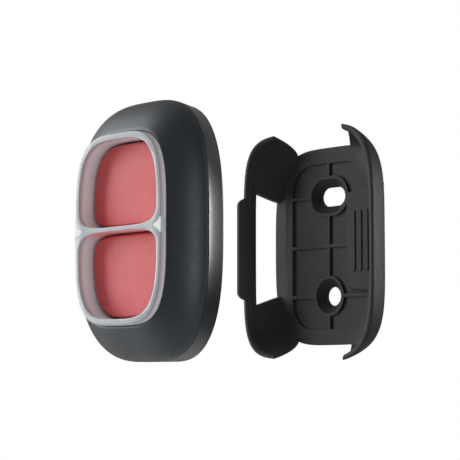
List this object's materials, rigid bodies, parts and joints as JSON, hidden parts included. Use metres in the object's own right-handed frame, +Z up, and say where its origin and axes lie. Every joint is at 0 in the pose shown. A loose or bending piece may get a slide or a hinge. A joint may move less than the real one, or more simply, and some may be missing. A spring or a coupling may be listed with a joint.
{
  "type": "two-key panic button with wall holder",
  "caption": "Palm-size wireless panic button with stacked red keys in a raised guard frame, pulled straight off its open wall holder.",
  "frame": {"origin": "centre of the holder's back face, on the wall", "axes": "+Y into the wall, the button and holder stand out along -Y; +Z up along the long side of the keys' frame; +X toward the holder's claw side"},
  "size_m": [0.036, 0.0568, 0.047],
  "materials": {
    "holder_plastic": "fine matte texture",
    "dome_plastic": "fine matte texture",
    "band_plastic": "satin",
    "black_rubber": "matte",
    "inner_plastic": "matte",
    "clear_grey": "translucent, polished",
    "light_guide": "diffusing white",
    "key_seal_rubber": "matte",
    "board_green": "solder mask",
    "switch_black": "moulded",
    "module_blue": "solder mask",
    "tinned_steel": "dull tin",
    "chip_black": "moulded",
    "copper_trace": "bare copper",
    "led_body": "clear",
    "spring_metal": "plated",
    "cell_steel": "bright",
    "screw_steel": "plated",
    "label_white": "blank",
    "key_red": "soft satin",
    "plunger_white": "moulded"
  },
  "bodies": {
    "holder": {"holder": "holder_plastic"},
    "button_body": {"front_shell": "dome_plastic", "rear_cover": "band_plastic", "shell_gasket": "black_rubber", "carrier": "inner_plastic", "guard_frame": "clear_grey", "left_arrow_window": "light_guide", "right_arrow_window": "light_guide", "key_seal": "key_seal_rubber", "circuit_board": "board_green", "upper_switch_body": "switch_black", "lower_switch_body": "switch_black", "radio_module": "module_blue", "radio_can": "tinned_steel", "processor_chip": "chip_black", "antenna": "copper_trace", "left_led": "led_body", "right_led": "led_body", "battery_contact": "spring_metal", "coin_cell": "cell_steel", "battery_clip": "spring_metal", "upper_cover_screw": "screw_steel", "lower_cover_screw": "screw_steel", "rear_label": "label_white"},
    "upper_key_body": {"upper_key": "key_red", "upper_plunger": "plunger_white"},
    "lower_key_body": {"lower_key": "key_red", "lower_plunger": "plunger_white"}
  },
  "joints": [
    {"name": "button_seating", "type": "slide", "parent": "holder", "child": "button_body", "axis": [0, 1, 0], "range_m": [0, 0.0381]},
    {"name": "upper_key_press", "type": "slide", "parent": "button_body", "child": "upper_key_body", "axis": [0, 1, 0], "range_m": [0, 0.0006], "stiffness_N_per_m": 4000},
    {"name": "lower_key_press", "type": "slide", "parent": "button_body", "child": "lower_key_body", "axis": [0, 1, 0], "range_m": [0, 0.0006], "stiffness_N_per_m": 4000}
  ]
}
